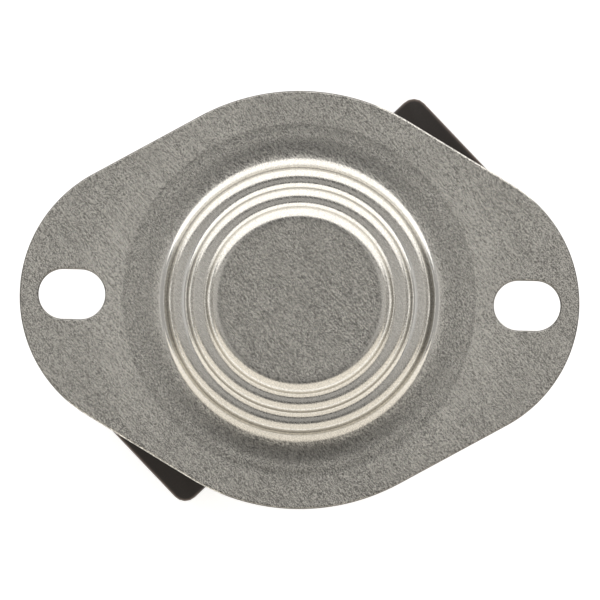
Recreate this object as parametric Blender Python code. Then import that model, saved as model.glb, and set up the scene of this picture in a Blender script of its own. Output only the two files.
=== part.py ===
"""Cycling thermostat with a stepped sensing cup.

A stamped aluminium cover carries the stepped cup and the mounting flange. Behind it sits a
phenolic switch case whose bar lies at 45 degrees to the flange. Inside are the bimetal disc,
its guide plate, the transfer pin, the snap contacts and the bias heater.

Lengths are in metres. +Z is the sensing direction, +X runs through the two mounting slots,
and the part stands on the back face of its switch case at z = 0.
"""
import math

import bmesh
import bpy
from mathutils import Vector

MM = 0.001

# Flange of the sheet cover
sheet_thickness = 0.6 * MM
flange_back = 15.0 * MM
flange_middle_radius = 22.6 * MM
flange_end_radius = 15.0 * MM
flange_end_offset = 15.25 * MM
flange_edge_round = 0.2 * MM
slot_spacing = 49.2 * MM
slot_length = 7.2 * MM
slot_width = 5.36 * MM

# Seat crease and lead-in around the cup
crease_width = 0.6 * MM
crease_depth = 0.025 * MM
crease_setback = 0.85 * MM
lead_in_reach = 2.28 * MM
lead_in_tilt = math.radians(12.0)

# Steps of the cup, from the flange towards the sensing face
step_1_width = 2.22 * MM
step_1_rise = 2.7 * MM
step_1_foot = 1.35 * MM
step_1_shoulder = 1.22 * MM
step_2_width = 2.05 * MM
step_2_rise = 1.6 * MM
step_2_foot = 0.72 * MM
step_2_shoulder = 1.15 * MM
step_3_rise = 1.5 * MM
step_3_foot = 0.6 * MM
step_3_shoulder = 1.42 * MM

# Switch case
bar_angle = math.radians(45.0)
bar_overhang = 2.2 * MM
bar_half_width = 7.8 * MM
bar_height = 5.0 * MM
bar_corner = 1.55 * MM
bar_edge_round = 0.4 * MM
body_recess = 0.3 * MM
case_floor = 2.4 * MM
case_wall = 2.0 * MM
shoulder_reach = 1.2 * MM
shoulder_height = 2.8 * MM
shoulder_edge = 0.3 * MM
case_top_gap = 0.1 * MM
barrier_width = 1.2 * MM
barrier_top = 9.6 * MM
barrier_setback = 3.8 * MM

# Guide plate and disc seat
plate_thickness = 1.6 * MM
plate_ledge = 0.8 * MM
seat_collar_gap = 0.5 * MM
seat_collar_height = 3.6 * MM
seat_rim_gap = 0.35 * MM
seat_rim_width = 0.8 * MM
guide_boss_radius = 2.4 * MM
guide_boss_above = 2.6 * MM
guide_boss_below = 1.0 * MM

# Bimetal disc and transfer pin
disc_side_gap = 0.25 * MM
disc_thickness = 0.3 * MM
disc_dish = 0.45 * MM
disc_top_gap = 0.15 * MM
pin_radius = 1.1 * MM
pin_travel = 0.6 * MM

# Retaining ring rolled over the shoulder of the case
ring_thickness = 0.5 * MM
ring_bend = 0.5 * MM
ring_lip_gap = 0.25 * MM
ring_collar_reach = 2.05 * MM

# Tab terminals
tab_thickness = 0.8 * MM
tab_level = 7.9 * MM
tab_chamfer = 1.1 * MM
tab_edge_bevel = 0.15 * MM
tab_inner_margin = 1.6 * MM
pad_corner = 0.4 * MM
line_tab_width = 6.35 * MM
line_tab_offset = 3.9 * MM
line_tab_setback = 1.4 * MM
line_tab_hole = 0.9 * MM
line_hole_from_end = 4.1 * MM
heater_tab_width = 4.75 * MM
heater_tab_offset = 4.6 * MM
heater_tab_setback = 3.9 * MM
heater_tab_hole = 0.7 * MM
heater_hole_from_end = 2.9 * MM
pedestal_wall = 0.7 * MM
pedestal_rim = 0.5 * MM

# Rivets
rivet_wall_gap = 3.2 * MM
line_rivet_offset = 3.07 * MM
rivet_shank = 0.95 * MM
rivet_head_radius = 1.55 * MM
rivet_head_height = 0.7 * MM
rivet_foot_radius = 1.7 * MM
rivet_foot_height = 0.5 * MM
rivet_foot_edge = 0.2 * MM
rivet_dimple = 0.25 * MM
counterbore_radius = 2.1 * MM
counterbore_depth = 1.2 * MM

# Contact arm, contact plate and contacts
arm_thickness = 0.25 * MM
arm_root_radius = 1.8 * MM
arm_tip_radius = 1.9 * MM
arm_end_gap = 0.35 * MM
root_margin = 0.07 * MM
contact_place = 5.1 * MM
contact_radius = 1.5 * MM
contact_height = 0.8 * MM
contact_crown = 0.15 * MM
contact_shank = 0.7 * MM
contact_foot_radius = 1.05 * MM
contact_foot_height = 0.3 * MM
contact_foot_edge = 0.1 * MM
contact_plate_thickness = 0.6 * MM
contact_plate_width = 4.4 * MM
contact_plate_tip_margin = 1.8 * MM
contact_plate_tail_margin = 1.6 * MM
contact_plate_bend = 0.25 * MM
riser_rivet_gap = 0.2 * MM

# Bias heater
heater_radius = 1.5 * MM
heater_cap_length = 1.2 * MM
heater_cap_step = 0.15 * MM
lead_radius = 0.25 * MM
lead_straight = 2.6 * MM
lead_bend = 0.7 * MM
lead_rivet_gap = 3.1 * MM

# Clearances
seat_gap = 0.05 * MM
side_gap = 0.1 * MM
slide_gap = 0.08 * MM

# How far a cutter stands past the face it opens
clear_of = 1.0 * MM

# Facets
turn_segments = 60
small_segments = 16
arc_step = math.radians(7.5)

# Places that follow from the sizes above
bar_half_length = flange_middle_radius + bar_overhang
barrier_end = bar_half_length - barrier_setback
line_tab_end = bar_half_length - line_tab_setback
heater_tab_end = bar_half_length - heater_tab_setback
contact_plate_tip = contact_place - contact_plate_tip_margin
contact_plate_riser = contact_place + arm_tip_radius + arm_end_gap
riser_back = contact_plate_riser + contact_plate_thickness
arm_reach = riser_back + riser_rivet_gap + rivet_head_radius
rivet_place = math.sqrt(arm_reach ** 2 - line_rivet_offset ** 2)
cavity_radius = rivet_place + rivet_wall_gap
body_radius = cavity_radius + case_wall
shoulder_radius = body_radius + shoulder_reach
plate_radius = cavity_radius + plate_ledge
ring_lip_inner = body_radius + ring_lip_gap
ring_inside = shoulder_radius + side_gap
ring_outside = ring_inside + ring_thickness
ring_collar_radius = ring_outside + ring_bend + ring_collar_reach
crease_radius = ring_collar_radius
lead_in_radius = crease_radius - crease_setback
step_1_radius = lead_in_radius - lead_in_reach - step_1_foot
step_2_radius = step_1_radius - step_1_width
step_3_radius = step_2_radius - step_2_width
seat_collar_radius = step_2_radius - sheet_thickness - seat_collar_gap
seat_rim_radius = step_3_radius - sheet_thickness - seat_rim_gap
seat_bore_radius = seat_rim_radius - seat_rim_width
disc_radius = step_3_radius - sheet_thickness - disc_side_gap
tab_inner_end = rivet_place - tab_inner_margin
heater_reach = math.hypot(rivet_place, heater_tab_offset)
lead_rise_place = heater_reach - lead_rivet_gap
heater_half_length = lead_rise_place - lead_straight

# Heights that follow from the sizes above
flange_front = flange_back + sheet_thickness
cup_front = flange_front + step_1_rise + step_2_rise + step_3_rise
cup_ceiling = cup_front - sheet_thickness
case_top = flange_back - case_top_gap
plate_seat = case_top - plate_thickness - seat_gap
shoulder_bottom = case_top - shoulder_height
rebate_radius = plate_radius + side_gap
disc_rim = cup_ceiling - disc_top_gap - disc_thickness - disc_dish
tab_top = tab_level + tab_thickness
arm_angle = -math.atan2(line_rivet_offset, rivet_place)
arm_root_gap = arm_root_radius * pin_travel / arm_reach + root_margin
arm_bottom = tab_top + arm_root_gap
arm_top = arm_bottom + arm_thickness
contact_plate_low = tab_top + seat_gap
contact_plate_high = arm_top + 2 * contact_height + 3 * seat_gap
contact_plate_tail = arm_reach + contact_plate_tail_margin
heater_angle = math.atan2(heater_tab_offset, rivet_place)
heater_axis = case_floor + seat_gap + heater_radius


def material(name, colour, roughness, metallic):
    """A plain Principled material."""
    made = bpy.data.materials.new(name)
    made.use_nodes = True
    made.diffuse_color = (*colour, 1.0)
    shader = made.node_tree.nodes["Principled BSDF"]
    shader.inputs["Base Color"].default_value = (*colour, 1.0)
    shader.inputs["Roughness"].default_value = roughness
    shader.inputs["Metallic"].default_value = metallic
    return made


def empty(name, parent=None, turn=0.0, place=(0.0, 0.0, 0.0)):
    """A frame for the pieces that share a direction."""
    made = bpy.data.objects.new(name, None)
    made.parent = parent
    made.location = place
    made.rotation_euler = (0.0, 0.0, turn)
    bpy.context.collection.objects.link(made)
    return made


def add_object(name, bm, look, parent=None, place=(0.0, 0.0, 0.0), turn=0.0, flat=30.0):
    """Turn a bmesh into a named object, shaded smooth up to the given angle."""
    bmesh.ops.recalc_face_normals(bm, faces=bm.faces[:])
    mesh = bpy.data.meshes.new(name)
    bm.to_mesh(mesh)
    bm.free()
    mesh.shade_smooth()
    mesh.set_sharp_from_angle(angle=math.radians(flat))
    made = bpy.data.objects.new(name, mesh)
    if look is not None:
        made.data.materials.append(look)
    made.parent = parent
    made.location = place
    made.rotation_euler = (0.0, 0.0, turn)
    bpy.context.collection.objects.link(made)
    return made


def add_cutter(name, bm, parent=None):
    """A guide body for a Boolean, left out of renders."""
    made = add_object(name, bm, None, parent)
    made.hide_render = True
    made.display_type = "WIRE"
    return made


def combine(target, other, operation):
    """A Boolean modifier on the target."""
    change = target.modifiers.new(other.name, "BOOLEAN")
    change.operation = operation
    change.solver = "EXACT"
    change.object = other


def belt(circles, inset=0.0, step=arc_step):
    """Points of the tight belt round circles (x, y, radius), counter-clockwise."""
    count = len(circles)
    leaves = []
    for index, (x, y, radius) in enumerate(circles):
        next_x, next_y, next_radius = circles[(index + 1) % count]
        heading = math.atan2(next_y - y, next_x - x)
        distance = math.hypot(next_x - x, next_y - y)
        leaves.append(heading - math.acos((radius - next_radius) / distance))
    points = []
    for index, (x, y, radius) in enumerate(circles):
        start = leaves[index - 1]
        sweep = (leaves[index] - start) % math.tau
        pieces = max(1, round(sweep / step))
        for k in range(pieces + 1):
            angle = start + sweep * k / pieces
            reach = radius - inset
            points.append((x + reach * math.cos(angle), y + reach * math.sin(angle)))
    return points


def ring_points(radius, count=small_segments, x=0.0, y=0.0):
    """Points of a circle."""
    angles = (math.tau * k / count for k in range(count))
    return [(x + radius * math.cos(a), y + radius * math.sin(a)) for a in angles]


def add_loop(bm, points, z):
    """Vertices of a flat loop at height z."""
    return [bm.verts.new((x, y, z)) for x, y in points]


def join_loops(bm, first, second):
    """A band of faces between two loops of the same count."""
    count = len(first)
    for k in range(count):
        after = (k + 1) % count
        bm.faces.new((first[k], first[after], second[after], second[k]))


def fill_between(bm, loops):
    """Flat faces inside the first loop and outside the others."""
    edges = []
    for loop in loops:
        for k, vert in enumerate(loop):
            pair = (vert, loop[(k + 1) % len(loop)])
            edges.append(bm.edges.get(pair) or bm.edges.new(pair))
    bmesh.ops.triangle_fill(bm, use_beauty=True, use_dissolve=False, edges=edges)


def plate(outline, holes, levels):
    """A flat plate with through holes. Levels are (inset of the outline, height)."""
    bm = bmesh.new()
    stacks = [[add_loop(bm, outline(inset), z) for inset, z in levels]]
    for hole in holes:
        stacks.append([add_loop(bm, hole, z) for z in (levels[0][1], levels[-1][1])])
    for stack in stacks:
        for lower, upper in zip(stack, stack[1:]):
            join_loops(bm, lower, upper)
    fill_between(bm, [stack[0] for stack in stacks])
    fill_between(bm, [stack[-1] for stack in stacks])
    return bm


def turned(bm, profile, segments, closed=True):
    """Revolve (radius, height) points about Z and return the rings of vertices."""
    rings = []
    for radius, z in profile:
        if radius < 1e-7:
            rings.append([bm.verts.new((0.0, 0.0, z))])
        else:
            rings.append(add_loop(bm, ring_points(radius, segments), z))
    pairs = list(zip(rings, rings[1:]))
    if closed and len(rings[0]) > 1:
        pairs.append((rings[-1], rings[0]))
    for first, second in pairs:
        if len(first) == 1 and len(second) == 1:
            continue
        if len(first) == 1:
            first, second = second, first
        if len(second) == 1:
            for k, vert in enumerate(first):
                bm.faces.new((vert, first[(k + 1) % segments], second[0]))
        else:
            join_loops(bm, first, second)
    return rings


def arc(centre_r, centre_z, radius, start, end, pieces):
    """Points of an arc in the profile plane, angles in degrees."""
    points = []
    for k in range(pieces + 1):
        angle = math.radians(start + (end - start) * k / pieces)
        points.append((centre_r + radius * math.cos(angle), centre_z + radius * math.sin(angle)))
    return points


def box(x_range, y_range, z_range, bm=None):
    """An axis-aligned block."""
    bm = bm or bmesh.new()
    corners = [(x_range[0], y_range[0]), (x_range[1], y_range[0])]
    corners += [(x_range[1], y_range[1]), (x_range[0], y_range[1])]
    lower = add_loop(bm, corners, z_range[0])
    upper = add_loop(bm, corners, z_range[1])
    join_loops(bm, lower, upper)
    bm.faces.new(lower)
    bm.faces.new(upper)
    return bm


def cup_profile(depth, pieces):
    """Cup surface from the sensing face out to the lead-in, at a depth below the front."""
    steps = [
        (step_3_radius, step_3_rise, step_3_foot, step_3_shoulder, 0.0),
        (step_2_radius, step_2_rise, step_2_foot, step_2_shoulder, 0.0),
        (step_1_radius, step_1_rise, step_1_foot, step_1_shoulder, lead_in_tilt),
    ]
    level = cup_front
    points = [(0.0, level - depth)]
    for wall, rise, foot, shoulder, tilt in steps:
        # A wall lower than its two bends leans, and the bends meet halfway
        lift = lead_in_reach * math.tan(tilt / 2)
        bends = foot + shoulder
        lean = math.acos(max(0.0, 1.0 - (rise - lift) / bends))
        steep = math.degrees(lean)
        flat = math.degrees(tilt)
        inner = wall + foot - bends * math.sin(lean)
        points += arc(inner, level - shoulder, shoulder - depth, 90.0, 90.0 - steep, pieces)
        level -= rise
        centre = level + lift + foot
        outer = arc(wall + foot, centre, foot + depth, 270.0 - steep, 270.0 - flat, pieces)
        points += outer if steep == 90.0 else outer[1:]
    blend = step_1_foot + lead_in_reach / math.sin(lead_in_tilt)
    sweep = arc(lead_in_radius, flange_front + blend, blend + depth, 270.0 - flat, 270.0, pieces)
    return points + sweep[1:]


def build_flange_cup(look):
    """One stamped sheet: stepped cup, lead-in, seat crease and slotted flange."""
    circles = [
        (flange_end_offset, 0.0, flange_end_radius),
        (0.0, 0.0, flange_middle_radius),
        (-flange_end_offset, 0.0, flange_end_radius),
        (0.0, 0.0, flange_middle_radius),
    ]
    slot_end = slot_width / 2
    slot_half = slot_length / 2 - slot_end
    slots = []
    for side in (1, -1):
        x = side * slot_spacing / 2
        slots.append([(x - slot_half, 0.0, slot_end), (x + slot_half, 0.0, slot_end)])

    bm = bmesh.new()
    outer = crease_radius + crease_width / 2
    inner = crease_radius - crease_width / 2
    crease = [(inner, flange_front), (crease_radius, flange_front - crease_depth)]
    front = turned(bm, cup_profile(0.0, 3) + crease + [(outer, flange_front)], turn_segments, False)
    back = turned(bm, cup_profile(sheet_thickness, 2) + [(outer, flange_back)], turn_segments, False)

    levels = [(0.0, flange_back)]
    for degrees in (0.0, 45.0, 90.0):
        angle = math.radians(degrees)
        inset = flange_edge_round * (1.0 - math.cos(angle))
        levels.append((inset, flange_front - flange_edge_round * (1.0 - math.sin(angle))))
    stacks = [[add_loop(bm, belt(circles, inset), z) for inset, z in levels]]
    for slot in slots:
        wide = math.radians(22.5)
        stacks.append([add_loop(bm, belt(slot, -inset, wide), z) for inset, z in levels])
    for stack in stacks:
        for lower, upper in zip(stack, stack[1:]):
            join_loops(bm, lower, upper)
    fill_between(bm, [stacks[0][0], back[-1], stacks[1][0], stacks[2][0]])
    fill_between(bm, [stacks[0][-1], front[-1], stacks[1][-1], stacks[2][-1]])
    return add_object("flange_cup", bm, look, flat=35.0)


def build_retaining_ring(look):
    """Collar flat behind the flange, wall round the case shoulder, lip rolled under it."""
    top = flange_back - seat_gap
    lip_top = shoulder_bottom - seat_gap
    lip_bottom = lip_top - ring_thickness
    bend = ring_bend
    profile = [(ring_lip_inner, lip_top), (ring_inside, lip_top), (ring_inside, top)]
    profile += [(ring_collar_radius, top), (ring_collar_radius, top - ring_thickness)]
    profile += arc(ring_outside + bend, top - ring_thickness - bend, bend, 90.0, 180.0, 2)
    profile += arc(ring_outside - bend, lip_bottom + bend, bend, 0.0, -90.0, 2)
    profile += [(ring_lip_inner, lip_bottom)]
    bm = bmesh.new()
    turned(bm, profile, turn_segments)
    return add_object("retaining_ring", bm, look)


def bar_outline(inset):
    """Rounded rectangle of the bar."""
    x = bar_half_length - bar_corner
    y = bar_half_width - bar_corner
    corners = [(x, -y, bar_corner), (x, y, bar_corner)]
    corners += [(-x, y, bar_corner), (-x, -y, bar_corner)]
    return belt(corners, inset, math.radians(22.5))


def terminal_rows():
    """Side of the bar, offset across it, width, and rivet offset of each tab terminal."""
    rows = []
    for side in (1, -1):
        rows.append((side, -side * line_tab_offset, line_tab_width, -side * line_rivet_offset))
        rows.append((side, side * heater_tab_offset, heater_tab_width, side * heater_tab_offset))
    return rows


def build_case(look, frame):
    """Phenolic switch case: bar, round body with shoulder, cavity and terminal seats."""
    corner = shoulder_edge
    bm = bmesh.new()
    profile = [(0.0, case_top), (shoulder_radius - corner, case_top)]
    profile += [(shoulder_radius, case_top - corner), (shoulder_radius, shoulder_bottom + corner)]
    profile += [(shoulder_radius - corner, shoulder_bottom), (body_radius, shoulder_bottom)]
    profile += [(body_radius, body_recess + corner), (body_radius - corner, body_recess)]
    profile += [(0.0, body_recess)]
    turned(bm, profile, turn_segments)
    case = add_object("switch_case", bm, look, frame)

    bm = plate(bar_outline, [], [
        (bar_edge_round, 0.0),
        (0.0, bar_edge_round),
        (0.0, bar_height - bar_edge_round),
        (bar_edge_round * 0.3, bar_height - bar_edge_round * 0.3),
        (bar_edge_round, bar_height),
    ])
    combine(case, add_cutter("bar_guide", bm, frame), "UNION")

    bm = bmesh.new()
    middle = (heater_tab_offset - heater_tab_width / 2 - line_tab_offset + line_tab_width / 2) / 2
    for side in (1, -1):
        edges = sorted((side * (body_radius - case_wall / 2), side * barrier_end))
        centre = side * middle
        across = (centre - barrier_width / 2, centre + barrier_width / 2)
        box(edges, across, (bar_height - bar_edge_round, barrier_top), bm)
    combine(case, add_cutter("barrier_guide", bm, frame), "UNION")

    bm = bmesh.new()
    above = case_top + clear_of
    profile = [(0.0, above), (rebate_radius, above), (rebate_radius, plate_seat)]
    profile += [(cavity_radius, plate_seat), (cavity_radius, case_floor), (0.0, case_floor)]
    turned(bm, profile, turn_segments)
    combine(case, add_cutter("cavity_guide", bm, frame), "DIFFERENCE")

    seats = bmesh.new()
    slots = bmesh.new()
    bores = bmesh.new()
    for side, offset, width, rivet_offset in terminal_rows():
        half = width / 2 + side_gap
        reach = sorted((side * (tab_inner_end - pedestal_rim), side * (cavity_radius + side_gap)))
        across = (offset - half - pedestal_wall, offset + half + pedestal_wall)
        box(reach, across, (case_floor / 2, tab_level + pedestal_rim), seats)
        reach = sorted((side * (tab_inner_end - 2 * pedestal_rim), side * (body_radius + clear_of)))
        across = (offset - half, offset + half)
        box(reach, across, (tab_level - seat_gap, tab_top + side_gap), slots)
        bore = rivet_shank + side_gap
        profile = [(0.0, tab_top), (bore, tab_top), (bore, counterbore_depth)]
        profile += [(counterbore_radius, counterbore_depth), (counterbore_radius, -clear_of)]
        profile += [(0.0, -clear_of)]
        rings = turned(bores, profile, small_segments)
        moved = [vert for ring in rings for vert in ring]
        bmesh.ops.translate(bores, verts=moved, vec=(side * rivet_place, rivet_offset, 0.0))
    combine(case, add_cutter("pedestal_guide", seats, frame), "UNION")
    combine(case, add_cutter("strip_slot_guide", slots, frame), "DIFFERENCE")
    combine(case, add_cutter("rivet_bore_guide", bores, frame), "DIFFERENCE")
    return case


def build_guide_plate(look):
    """Plate in the case rebate with the stepped collar that carries the disc's rim."""
    low = plate_seat + seat_gap
    high = low + plate_thickness
    bore = pin_radius + slide_gap
    corner = shoulder_edge
    profile = [(bore, low - guide_boss_below), (guide_boss_radius, low - guide_boss_below)]
    profile += [(guide_boss_radius, low), (plate_radius - corner, low), (plate_radius, low + corner)]
    profile += [(plate_radius, high), (seat_collar_radius, high)]
    profile += [(seat_collar_radius, high + seat_collar_height)]
    profile += [(seat_rim_radius, high + seat_collar_height), (seat_rim_radius, disc_rim - seat_gap)]
    profile += [(seat_bore_radius, disc_rim - seat_gap), (seat_bore_radius, high)]
    profile += [(guide_boss_radius, high), (guide_boss_radius, high + guide_boss_above)]
    profile += [(bore, high + guide_boss_above)]
    bm = bmesh.new()
    turned(bm, profile, turn_segments // 2)
    return add_object("guide_plate", bm, look)


def build_bimetal_disc(look):
    """Shallow dished disc, domed towards the sensing face while cold."""
    rings = 3
    under = []
    for k in range(rings + 1):
        share = k / rings
        under.append((disc_radius * share, disc_dish * (1.0 - share * share)))
    upper = [(r, z + disc_thickness) for r, z in reversed(under)]
    bm = bmesh.new()
    turned(bm, under + upper, turn_segments // 2)
    return add_object("bimetal_disc", bm, look, place=(0.0, 0.0, disc_rim), flat=50.0)


def build_transfer_pin(look, frame):
    """Ceramic pin with domed ends, its origin at its lower tip on the slide axis."""
    low = arm_top + seat_gap
    length = disc_rim + disc_dish - seat_gap - low
    crown = 0.35 * pin_radius
    profile = [(0.0, 0.0), (0.55 * pin_radius, 0.12 * pin_radius), (pin_radius, crown)]
    profile += [(pin_radius, length - crown)]
    profile += [(0.55 * pin_radius, length - 0.12 * pin_radius), (0.0, length)]
    bm = bmesh.new()
    turned(bm, profile, small_segments)
    return add_object("transfer_pin", bm, look, frame, (0.0, 0.0, low))


def tab_outline(inner, end, width):
    """Outline function of a straight tab with two cut corners at its outer end."""
    def outline(inset):
        half = width / 2 - inset
        tip = end - inset
        cut = tab_chamfer - inset * (2.0 - math.sqrt(2.0))
        root = inner + inset
        corner = pad_corner
        points = [(root + corner, -half), (tip - cut, -half), (tip, cut - half)]
        points += [(tip, half - cut), (tip - cut, half), (root + corner, half)]
        points += [(root, half - corner), (root, corner - half)]
        return points
    return outline


def build_terminal(name, look, frame, side, offset, sizes, rivet_offset):
    """Brass tab strip from its rivet inside the case, out through the wall, over the bar."""
    width, end, hole, hole_from_end = sizes
    holes = [
        ring_points(rivet_shank + side_gap, small_segments, rivet_place, side * (rivet_offset - offset)),
        ring_points(hole, small_segments // 2, end - hole_from_end, 0.0),
    ]
    bevel = tab_edge_bevel
    levels = [(bevel, 0.0), (0.0, bevel), (0.0, tab_thickness - bevel), (bevel, tab_thickness)]
    bm = plate(tab_outline(tab_inner_end, end, width), holes, levels)
    turn = 0.0 if side > 0 else math.pi
    return add_object(name, bm, look, frame, (0.0, offset, tab_level), turn, flat=20.0)


def build_rivet(name, look, frame, place, grip_top):
    """Domed head over the stack, shank through the case, formed foot in the counterbore."""
    foot_top = counterbore_depth - seat_gap
    foot_low = foot_top - rivet_foot_height
    profile = [(0.0, grip_top + rivet_head_height)]
    profile += [(0.6 * rivet_head_radius, grip_top + 0.85 * rivet_head_height)]
    profile += [(rivet_head_radius, grip_top + 0.35 * rivet_head_height)]
    profile += [(rivet_head_radius, grip_top), (rivet_shank, grip_top), (rivet_shank, foot_top)]
    profile += [(rivet_foot_radius, foot_top), (rivet_foot_radius, foot_low + rivet_foot_edge)]
    profile += [(rivet_foot_radius - rivet_foot_edge, foot_low), (0.5 * rivet_shank, foot_low)]
    profile += [(0.3 * rivet_shank, foot_low + rivet_dimple), (0.0, foot_low + rivet_dimple)]
    bm = bmesh.new()
    turned(bm, profile, small_segments)
    return add_object(name, bm, look, frame, (*place, 0.0))


def build_contact_arm(look, frame):
    """Tapered leaf from the rivet to the contact, its origin at the rivet."""
    reach = arm_reach + contact_place
    circles = [(0.0, 0.0, arm_root_radius), (reach, 0.0, arm_tip_radius)]
    holes = [
        ring_points(rivet_shank + side_gap, small_segments),
        ring_points(contact_shank + seat_gap, small_segments, reach, 0.0),
    ]
    half = arm_thickness / 2
    step = math.radians(18.0)
    bm = plate(lambda inset: belt(circles, inset, step), holes, [(0.0, -half), (0.0, half)])
    place = (-arm_reach, 0.0, arm_bottom + half)
    return add_object("contact_arm", bm, look, frame, place)


def contact_profile(backing):
    """Contact rivet profile: crowned face at +Z, backing thickness below the shoulder."""
    foot = -backing - seat_gap
    low = foot - contact_foot_height
    return [
        (0.0, contact_height),
        (0.6 * contact_radius, contact_height - 0.35 * contact_crown),
        (contact_radius, contact_height - contact_crown),
        (contact_radius, 0.0), (contact_shank, 0.0), (contact_shank, foot),
        (contact_foot_radius, foot), (contact_foot_radius - contact_foot_edge, low), (0.0, low),
    ]


def build_contact(name, look, frame, place, backing, flip):
    """Silver contact rivet, face up or face down."""
    bm = bmesh.new()
    profile = contact_profile(backing)
    turned(bm, [(r, -z if flip else z) for r, z in profile], small_segments)
    return add_object(name, bm, look, frame, place)


def build_contact_plate(look, frame):
    """Brass plate stepped up from its rivet to reach over the arm's tip."""
    low = contact_plate_low
    high = contact_plate_high
    thick = contact_plate_thickness
    riser = contact_plate_riser
    bend = contact_plate_bend
    side = [(contact_plate_tail, low), (contact_plate_tail, low + thick)]
    side += [(riser + thick + bend, low + thick), (riser + thick, low + thick + bend)]
    side += [(riser + thick, high + thick - bend), (riser + thick - bend, high + thick)]
    side += [(contact_plate_tip, high + thick), (contact_plate_tip, high)]
    side += [(riser - bend, high), (riser, high - bend), (riser, low + bend), (riser + bend, low)]
    half = contact_plate_width / 2
    bm = bmesh.new()
    near = [bm.verts.new((x, -half, z)) for x, z in side]
    far = [bm.verts.new((x, half, z)) for x, z in side]
    join_loops(bm, near, far)
    bm.faces.new(near)
    bm.faces.new(far)
    made = add_object("contact_plate", bm, look, frame, flat=20.0)

    holes = bmesh.new()
    cuts = [(arm_reach, rivet_shank + side_gap, low), (contact_place, contact_shank + seat_gap, high)]
    for x, radius, level in cuts:
        points = ring_points(radius, small_segments, x, 0.0)
        lower = add_loop(holes, points, level - clear_of)
        upper = add_loop(holes, points, level + thick + clear_of)
        join_loops(holes, lower, upper)
        holes.faces.new(lower)
        holes.faces.new(upper)
    combine(made, add_cutter("contact_plate_hole_guide", holes, frame), "DIFFERENCE")
    return made


def build_heater(look, frame):
    """Coated ceramic resistor with pressed end caps, lying on the floor of the case."""
    half = heater_half_length
    body = heater_radius - heater_cap_step
    cap = half - heater_cap_length
    side = [(0.0, half), (heater_radius - heater_cap_step, half), (heater_radius, half - heater_cap_step)]
    side += [(heater_radius, cap), (body, cap - heater_cap_step)]
    profile = side + [(r, -z) for r, z in reversed(side)]
    bm = bmesh.new()
    turned(bm, profile, small_segments)
    for vert in bm.verts:
        vert.co = Vector((vert.co.z, vert.co.y, -vert.co.x))
    return add_object("bias_heater", bm, look, frame, (0.0, 0.0, heater_axis))


def build_lead(name, look, frame):
    """Wire from the heater's cap, up in front of the pedestal, hooked round its rivet."""
    start = heater_half_length + seat_gap
    rise = lead_rise_place
    top = tab_top + seat_gap + lead_radius
    bend = lead_bend
    hook = rivet_shank + side_gap + lead_radius
    path = [(start, 0.0, heater_axis)]
    for degrees in (0.0, 30.0, 60.0, 90.0):
        angle = math.radians(degrees)
        x = rise - bend + bend * math.sin(angle)
        path.append((x, 0.0, heater_axis + bend * (1.0 - math.cos(angle))))
    entry = heater_reach - hook
    over = 0.5 * bend
    for degrees in (0.0, 30.0, 60.0, 90.0):
        angle = math.radians(degrees)
        x = rise + over * (1.0 - math.cos(angle))
        path.append((x, 0.0, top - over * (1.0 - math.sin(angle))))
    hook_turn = 255
    path = [p for p in path if p[0] < entry]
    for degrees in range(15, hook_turn, 30):
        angle = math.pi - math.radians(degrees)
        path.append((heater_reach + hook * math.cos(angle), -hook * math.sin(angle), top))

    curve = bpy.data.curves.new(name, "CURVE")
    curve.dimensions = "3D"
    curve.bevel_depth = lead_radius
    curve.bevel_resolution = 2
    curve.use_fill_caps = True
    spline = curve.splines.new("POLY")
    spline.points.add(len(path) - 1)
    for point, place in zip(spline.points, path):
        point.co = (*place, 1.0)
    made = bpy.data.objects.new(name, curve)
    made.data.materials.append(look)
    made.parent = frame
    bpy.context.collection.objects.link(made)
    return made


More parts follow.
